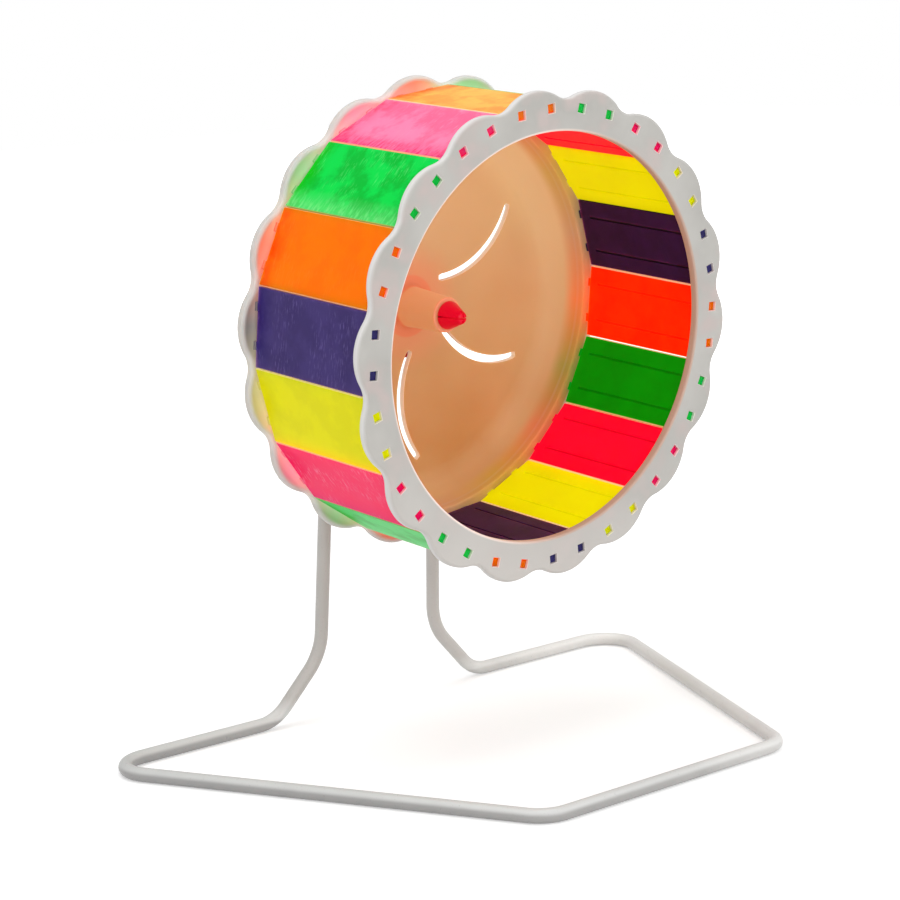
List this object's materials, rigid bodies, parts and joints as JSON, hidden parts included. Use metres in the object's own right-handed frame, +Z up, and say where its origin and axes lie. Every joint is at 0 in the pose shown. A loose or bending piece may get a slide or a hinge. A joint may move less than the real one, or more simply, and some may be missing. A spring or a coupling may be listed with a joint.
{
  "type": "hamster exercise wheel",
  "caption": "Open-fronted running wheel for a hamster: coloured planks between a scalloped ring and a dished, slotted disc, turning on a bent wire floor stand.",
  "frame": {"origin": "on the floor, under the middle of the wire base, halfway between its front bar and its rear bars", "axes": "+Z up; -Y is the way the wheel's open mouth looks; +X is to the right as seen from the open mouth. The wheel's axle leans 4.85 degrees up at the back from -Y."},
  "size_m": [0.2456, 0.1605, 0.2367],
  "materials": {
    "coated_wire": "smooth off-white plastic coating on steel wire, satin",
    "bracket_plastic": "moulded pink-red plastic, semi-gloss",
    "screw_steel": "zinc plated steel",
    "ring_plastic": "moulded warm white plastic, satin",
    "disc_plastic": "moulded milky translucent plastic that takes a peach tint from the planks, satin",
    "green_plastic": "moulded translucent green plastic, satin, lightly scuffed",
    "pink_plastic": "moulded translucent pink plastic, satin, lightly scuffed",
    "yellow_plastic": "moulded translucent yellow plastic, satin",
    "indigo_plastic": "moulded indigo plastic, satin, lightly scuffed",
    "orange_plastic": "moulded translucent orange plastic, satin"
  },
  "bodies": {
    "stand": {"stand_frame": "coated_wire", "axle_plate": "bracket_plastic", "clamp_cover": "bracket_plastic", "clamp_screw_1": "screw_steel", "clamp_screw_2": "screw_steel", "clamp_screw_3": "screw_steel", "clamp_screw_4": "screw_steel"},
    "wheel": {"front_ring": "ring_plastic", "rear_disc": "disc_plastic", "plank_01": "green_plastic", "plank_02": "pink_plastic", "plank_03": "yellow_plastic", "plank_04": "indigo_plastic", "plank_05": "orange_plastic", "plank_06": "green_plastic", "plank_07": "pink_plastic", "plank_08": "yellow_plastic", "plank_09": "indigo_plastic", "plank_10": "orange_plastic", "plank_11": "green_plastic", "plank_12": "pink_plastic", "plank_13": "yellow_plastic", "plank_14": "indigo_plastic", "plank_15": "orange_plastic", "plank_16": "green_plastic", "plank_17": "pink_plastic", "plank_18": "orange_plastic"}
  },
  "joints": [
    {"name": "wheel_spin", "type": "hinge", "parent": "stand", "child": "wheel", "pos_m": [0, 0.06482, 0.15485], "axis": [0, 0.9964, 0.0845], "continuous": true}
  ]
}
